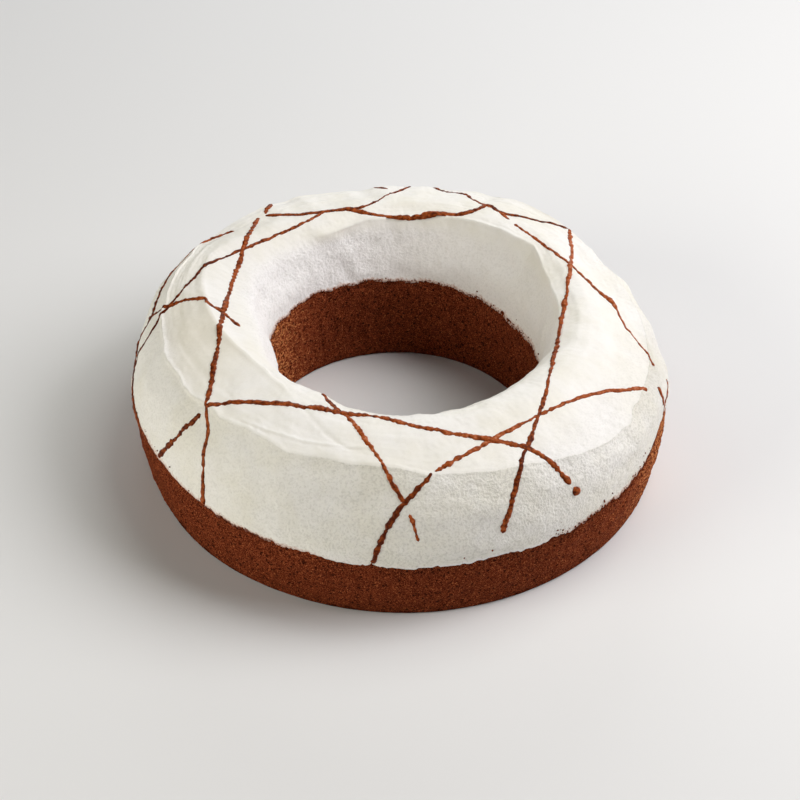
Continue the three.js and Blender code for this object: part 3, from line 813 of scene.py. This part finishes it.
# Strands as poured from above: plan points x, y, half width, shares of it by the length from the start, how
# much of the beading it has where that is less, and tones by the share of its length (below 0 is darker).
# A point outside the crease lies that far down the side
strands = (
    {"plan": ((-65, 68.6), (-70, 41.2), (-72.8, 18.9), (-74.1, -1.8), (-74.6, -35.3), (-76, -61.3),
              (-78.4, -77.1), (-90.3, -100.8)), "half": 1,
     "widths": ((125, 1), (132, 0.7), (140, 0.9), (165, 0.95)),
     "tones": ((0.1, 0.02), (0.28, 0.06), (0.42, 0), (0.65, -0.06), (0.8, 0.03))},
    {"plan": ((-113, -68.6), (-98, -69), (-87.7, -67.3), (-79.2, -64.9)), "half": 1.05,
     "tones": ((0, -0.08),)},
    {"plan": ((-76.2, -62.6), (-59, -63), (-39.3, -66.8), (-7.7, -72), (9, -78.2), (26.8, -81),
              (48.5, -82.2), (59.1, -86.9), (64.5, -90), (69.7, -92.4)), "half": 1.02,
     "widths": ((35, 1), (45, 1.4), (80, 1.4), (95, 1.1)),
     "tones": ((0, -0.02), (0.4, 0.01), (0.52, 0.08), (0.7, 0.08), (0.85, 0.03))},
    {"plan": ((71.4, -93.3), (73.7, -94.5), (75.6, -95.4)), "half": 1.15},
    {"plan": ((-14.4, 98.2), (-10.6, 96.6), (-7.6, 95.6)), "half": 1.4, "tones": ((0, -0.08),)},
    {"plan": ((-114, 11.2), (-100.8, 4.1), (-93.1, 4.6), (-83.5, 2.7), (-80.8, -0.7), (-73.7, -5.4),
              (-66.7, -11)),
     "half": 0.93, "widths": ((14, 0.7), (20, 1), (33, 1), (36, 0.5), (39, 1)),
     "tones": ((0, -0.05), (0.16, -0.15), (0.3, -0.1), (0.5, 0.01), (0.75, 0.02), (0.88, -0.03),
               (1, 0.03))},
    {"plan": ((-30.8, -54.4), (-25.4, -65.9), (-20.4, -71.6), (-13.3, -84.6), (-7, -95.1), (-3.3, -102.2),
              (2.4, -111.2)), "half": 0.82,
     "tones": ((0, 0.03), (0.2, 0), (0.4, 0.13), (0.8, 0.06), (1, -0.04))},
    {"plan": ((4.7, -115.6), (6.9, -120.3), (9.3, -126.6)), "half": 0.78, "tones": ((0, 0.05),)},
    {"plan": ((-11.3, -137.2), (-7.3, -127.6), (-0.9, -115.8), (7.8, -105.4), (12.6, -99.4)), "half": 1.05,
     "tones": ((0, -0.09), (0.5, -0.12), (1, -0.07))},
    {"plan": ((13.6, -98.4), (27.5, -88), (44.5, -74.2), (67.1, -56), (79.6, -46.8), (100.7, -37)),
     "half": 0.95, "widths": ((20, 1), (40, 0.75), (80, 0.75), (105, 0.95)),
     "tones": ((0, 0.08), (0.3, 0.11), (0.5, 0.06), (0.75, 0.1), (1, 0.13))},
    {"plan": ((74.6, 74), (74.3, 62), (73.9, 44.3), (70.1, 16.9), (65.3, -12.4), (58.3, -50.3),
              (55.1, -62.9), (50, -80.4), (46.8, -89.3), (45.6, -102.9), (44.8, -119.1)), "half": 0.95,
     "widths": ((100, 1), (115, 0.75), (150, 0.95), (158, 1), (164, 0.55), (169, 1.15)),
     "tones": ((0.03, 0.09), (0.15, 0.19), (0.3, 0.09), (0.45, 0), (0.65, 0), (0.77, -0.05), (0.86, -0.14),
               (1, 0))},
    {"plan": ((-61.9, 70.5), (-49.7, 69.4), (-38.2, 70.1), (-27, 73.6), (-16.9, 72.4), (-1.2, 71),
              (15.7, 72.5), (25.1, 71.9), (32.7, 75.3), (37.9, 80.2), (43, 74.4), (50.8, 72.1),
              (67.4, 69.7), (73.9, 69.2)),
     "half": 1.45, "bead": 0.4,
     "widths": ((18, 0.85), (45, 0.78), (60, 0.78), (70, 0.95), (100, 1.05), (106, 0.75), (112, 0.55)),
     "tones": ((0, -0.05), (0.2, -0.02), (0.4, 0.02), (0.6, 0.02), (0.72, -0.1), (0.9, -0.07))},
    {"plan": ((-125, -9), (-111.9, -8.3), (-99.7, 1.6), (-89.9, 16.4), (-83.9, 28.5), (-69.9, 42.7),
              (-46.6, 60.7), (-31.6, 72.8), (-23.7, 73.9), (-15.4, 77.6), (-6.5, 88.7), (0.8, 97.8),
              (8, 112)),
     "half": 0.65, "tones": ((0.05, -0.2), (0.2, -0.14), (0.33, -0.17), (0.45, -0.04), (0.65, 0.04),
                             (0.82, -0.08), (1, -0.02))},
    {"plan": ((5, 110), (16.9, 97.3), (22.8, 94.3), (28.6, 91.7), (31.4, 85.5), (38.2, 79.1), (42.5, 75),
              (47, 68)),
     "half": 0.75, "tones": ((0, 0.05), (0.4, -0.1), (0.8, 0.07))},
    {"plan": ((49.5, 64.6), (56.9, 55), (72.3, 34.2), (83.8, 17.4), (88.8, 13.2), (94.9, -3.1),
              (105.1, -21.8)), "half": 0.75,
     "widths": ((0, 0.7), (20, 0.8), (38, 1.05), (60, 1.2), (64, 2), (68, 1.9), (71, 0.6), (100, 0.65)),
     "tones": ((0, 0.12), (0.3, 0.07), (0.5, 0.08), (0.75, 0.13), (1, 0.04))},
    {"plan": ((107.1, -31.5), (108.9, -35), (113.2, -37.4)), "half": 0.6},
    {"plan": ((115.6, -20.2), (115.4, -25.2), (115.6, -30), (115.4, -36), (117.3, -39.8)), "half": 0.6},
    {"plan": ((-74.9, 59.4), (-83.1, 55.5), (-87.5, 51.5), (-96.5, 43), (-101.5, 33), (-105.5, 21),
              (-109, 11.6), (-114.5, 6), (-120.8, 1), (-125.5, -7.2), (-126.1, -20.8), (-125.6, -35.9),
              (-120.7, -55.9)), "half": 0.92,
     "widths": ((14, 1), (17, 0.45), (33, 0.45), (36, 1), (60, 1), (80, 1.25)),
     "tones": ((0, -0.04), (0.15, 0.06), (0.35, -0.07), (0.72, -0.15), (0.9, -0.02))},
    {"plan": ((-60, 82), (-61.4, 76.5), (-62.4, 71.6)), "half": 1},
)


def drizzleMaterial():
    look = drizzleLook
    material, tree = newMaterial("chocolateDrizzle")
    grain = addGrain(tree, look["grain"])
    toned = addMath(tree, "ADD", grain, readValue(tree, "tone"))
    finishMaterial(tree, look, addRamp(tree, toned, look, look["stops"]), grain)
    return material


# Bilinear reading of grid[columns, rows, 3], closed round its columns
def readGrid(grid, column, row):
    i, j = np.floor(column).astype(int), np.minimum(np.floor(row).astype(int), grid.shape[1] - 2)
    u, v = (column - i)[:, None], (row - j)[:, None]
    i0, i1 = i % len(grid), (i + 1) % len(grid)
    near = grid[i0, j] * (1 - u) + grid[i1, j] * u
    far = grid[i0, j + 1] * (1 - u) + grid[i1, j + 1] * u
    return near * (1 - v) + far * v


# Places and normals on the frosting's moulded face over plan points [n, 2]: the row is the one that reaches
# as far out as the plan point, then the grid is read there
def onFrosting(plan):
    azimuth = np.arctan2(plan[:, 1], plan[:, 0]) % (2 * np.pi)
    radius = np.hypot(plan[:, 0], plan[:, 1])
    column = azimuth / (2 * np.pi) * len(frostingReach)
    i = np.floor(column).astype(int) % len(frostingReach)
    u = (column - np.floor(column))[:, None]
    reach = frostingReach[i] * (1 - u) + frostingReach[(i + 1) % len(frostingReach)] * u
    pick = np.arange(len(plan))
    before = np.clip((reach < radius[:, None]).sum(1) - 1, 0, reach.shape[1] - 2)
    low, high = reach[pick, before], reach[pick, before + 1]
    row = before + np.clip((radius - low) / np.maximum(high - low, 1e-6), 0, 1)
    return readGrid(frostingFace, column, row), readGrid(frostingNormals, column, row)


# Even places along a strand: the plan's curve is laid on the frosting and its length measured there.
# Returns plan points and lengths from the start
def strandPlan(strand):
    control = np.array(strand["plan"], float)[:, :, None]
    fineLine = spline(control, np.linspace(0, 1, drizzle["samples"]))[:, :, 0]
    laid = onFrosting(fineLine)[0]
    run = np.concatenate([[0], np.cumsum(np.linalg.norm(np.diff(laid, axis=0), axis=1))])
    at = np.linspace(0, run[-1], max(int(run[-1] / drizzle["step"]), drizzle["fewest"]) + 1)
    return np.stack([np.interp(at, run, fineLine[:, k]) for k in (0, 1)], -1), at


# A strand: a flattened round section carried along its line on the frosting, its width beaded by smoothed
# random fields and drawn out to a round point at both ends. Returns its grid and its tone by row
def strandTube(strand, seed):
    plan, at = strandPlan(strand)
    count, step = len(plan), drizzle["step"]
    wander = [lineRoughness(count, step, drizzle["wanderWave"], seed + k) for k in (0, 1)]
    place, normal = onFrosting(plan + drizzle["wander"] * np.stack(wander, -1))
    along = np.gradient(place, axis=0)
    across = np.cross(normal, along)
    across /= np.linalg.norm(across, axis=1, keepdims=True)
    bead = drizzle["beadShare"] * strand.get("bead", 1)
    width = 1 + bead * lineRoughness(count, step, drizzle["beadWave"], seed + 2)
    width += drizzle["swayShare"] * lineRoughness(count, step, drizzle["swayWave"], seed + 3)
    width = np.clip(width, *drizzle["limits"]) * np.interp(at, *zip(*strand.get("widths", ((0, 1),))))
    toEnd = np.minimum(at, at[-1] - at) / (drizzle["endRun"] * strand["half"])
    ends = np.sqrt(np.clip(toEnd, drizzle["tip"], 1))
    size = strand["half"] * ends * width
    turn = np.linspace(0, 2 * np.pi, drizzle["sides"], endpoint=False)
    section = (np.cos(turn)[None, :, None] * across[:, None]
               + drizzle["flat"] * np.sin(turn)[None, :, None] * normal[:, None])
    tone = np.interp(at / at[-1], *zip(*strand.get("tones", ((0, 0),))))
    return place[:, None] + size[:, None, None] * section, tone


def makeDrizzle(material):
    points, quads, tones, first = [], [], [], 0
    for k, strand in enumerate(strands):
        tube, tone = strandTube(strand, drizzle["seed"] + drizzle["seedStep"] * k)
        rows, columns = tube.shape[:2]
        tones.append(np.repeat(tone, columns))
        quads.append(np.concatenate([gridQuads(rows, columns, False), capQuads(rows, columns)]) + first)
        points.append(tube.reshape(-1, 3))
        first += rows * columns
    points, quads = np.concatenate(points), np.concatenate(quads)
    piece = makePiece("drizzle", points, quads, material, ["frosting"])
    storeValue(piece, "tone", np.concatenate(tones))


makeDrizzle(drizzleMaterial())


# Crumbs of sponge on the frosting's lower edges

crumbs = {
    "stretches": (  # azimuths, number, rows up from the edge over which they thin out, half sizes, edge
        {"az": (302, 354), "count": 900, "rows": 2.8, "size": (0.1, 0.32), "wall": True},
        {"az": (192, 244), "count": 260, "rows": 3.8, "size": (0.1, 0.28), "wall": True},
        {"az": (262, 296), "count": 14, "rows": 4, "size": (0.15, 0.35), "wall": True},
        {"az": (0, 200), "count": 150, "rows": 0.5, "size": (0.12, 0.3), "wall": False},
    ),
    "highest": 0.125,  # share of the frosting's rows that none passes
    "uneven": 0.3,
    "lift": 0.3,  # share of the half size by which the middle stands off the frosting
    "seed": 71,
}


# Each crumb is a small box with moved corners, turned at random, its place drawn along the edge
def makeCrumbs(material):
    draw = np.random.default_rng(crumbs["seed"])
    last = frostingFace.shape[1] - 1
    column, row, half = [], [], []
    for stretch in crumbs["stretches"]:
        azimuth = draw.uniform(*stretch["az"], stretch["count"])
        up = np.minimum(draw.exponential(stretch["rows"], stretch["count"]), last * crumbs["highest"])
        column.append(azimuth % 360 / 360 * len(frostingFace))
        row.append(last - up if stretch["wall"] else up)
        half.append(draw.uniform(*stretch["size"], stretch["count"]))
    column, row, half = np.concatenate(column), np.concatenate(row), np.concatenate(half)[:, None]
    count = len(column)
    corners = np.array([(x, y, z) for x in (-1, 1) for y in (-1, 1) for z in (-1, 1)], float)
    shapes = corners * (1 + crumbs["uneven"] * draw.uniform(-1, 1, (count, 8, 3)))
    turns = np.linalg.qr(draw.standard_normal((count, 3, 3)))[0]
    turns[:, :, 2] *= np.linalg.det(turns)[:, None]
    place, normal = (readGrid(grid, column, row) for grid in (frostingFace, frostingNormals))
    place = place + crumbs["lift"] * half * normal
    points = place[:, None] + half[:, None] * (shapes @ turns)
    sides = np.array([(0, 1, 3, 2), (4, 6, 7, 5), (0, 4, 5, 1), (2, 3, 7, 6), (0, 2, 6, 4), (1, 5, 7, 3)])
    quads = (sides[None] + 8 * np.arange(count)[:, None, None]).reshape(-1, 4)
    makePiece("crumbs", points.reshape(-1, 3), quads, material)


makeCrumbs(bpy.data.materials["chocolateSponge"])


# Floor, light and camera

stage = {
    "floor": (0.80, 0.80, 0.79),
    "floorSize": 8,
    "floorRoughness": 0.9,
    "world": 0.01,
    "lampDistance": 1.3,
    "lampSize": 0.9,
    "lamps": (  # azimuth and elevation in degrees, power, colour
        {"name": "key", "azimuth": 0, "elevation": 40, "power": 12.5, "colour": (1, 0.97, 1)},
        {"name": "high", "azimuth": 30, "elevation": 60, "power": 6.4, "colour": (1, 1, 0.97)},
        {"name": "back", "azimuth": 90, "elevation": 20, "power": 4.5, "colour": (0.93, 0.96, 1)},
        {"name": "fill", "azimuth": 210, "elevation": 20, "power": 9.8, "colour": (1, 0.97, 0.885)},
    ),
}

view = {
    "lens": 82.35,
    "sensor": 36,
    "azimuth": 270,
    "elevation": 39.9,
    "distance": 0.808,
    "aimHeight": 0.0197,
    "roll": 1.15,
}


def makeFloor():
    material, tree = newMaterial("paleFloor")
    inputs = tree.nodes["Principled BSDF"].inputs
    inputs["Base Color"].default_value = (*stage["floor"], 1)
    inputs["Roughness"].default_value = stage["floorRoughness"]
    bpy.ops.mesh.primitive_plane_add(size=stage["floorSize"])
    floor = bpy.context.active_object
    floor.name = "floor"
    floor.data.materials.append(material)


# Point at a distance from the base's centre, by azimuth and elevation in degrees
def onDome(azimuth, elevation, distance):
    a, e = math.radians(azimuth), math.radians(elevation)
    return Vector((math.cos(a) * math.cos(e), math.sin(a) * math.cos(e), math.sin(e))) * distance


def makeLight():
    world = bpy.data.worlds.new("studio")
    world.use_nodes = True
    background = world.node_tree.nodes["Background"]
    background.inputs["Color"].default_value = (1, 1, 1, 1)
    background.inputs["Strength"].default_value = stage["world"]
    bpy.context.scene.world = world
    for lamp in stage["lamps"]:
        light = bpy.data.lights.new(lamp["name"], "AREA")
        light.shape = "DISK"
        light.size = stage["lampSize"]
        light.energy = lamp["power"]
        light.color = lamp["colour"]
        holder = bpy.data.objects.new(lamp["name"], light)
        holder.location = onDome(lamp["azimuth"], lamp["elevation"], stage["lampDistance"])
        holder.rotation_euler = (-holder.location).to_track_quat("-Z", "Y").to_euler()
        bpy.context.scene.collection.objects.link(holder)
    bpy.context.scene.view_settings.view_transform = "Standard"


def makeCamera():
    camera = bpy.data.objects.new("camera", bpy.data.cameras.new("camera"))
    camera.data.lens = view["lens"]
    camera.data.sensor_width = view["sensor"]
    camera.location = onDome(view["azimuth"], view["elevation"], view["distance"])
    aim = Vector((0, 0, view["aimHeight"])) - camera.location
    turn = aim.to_track_quat("-Z", "Y") @ Quaternion((0, 0, 1), math.radians(view["roll"]))
    camera.rotation_euler = turn.to_euler()
    bpy.context.scene.collection.objects.link(camera)
    bpy.context.scene.camera = camera


makeFloor()
makeLight()
makeCamera()
print("stage, light and camera set")
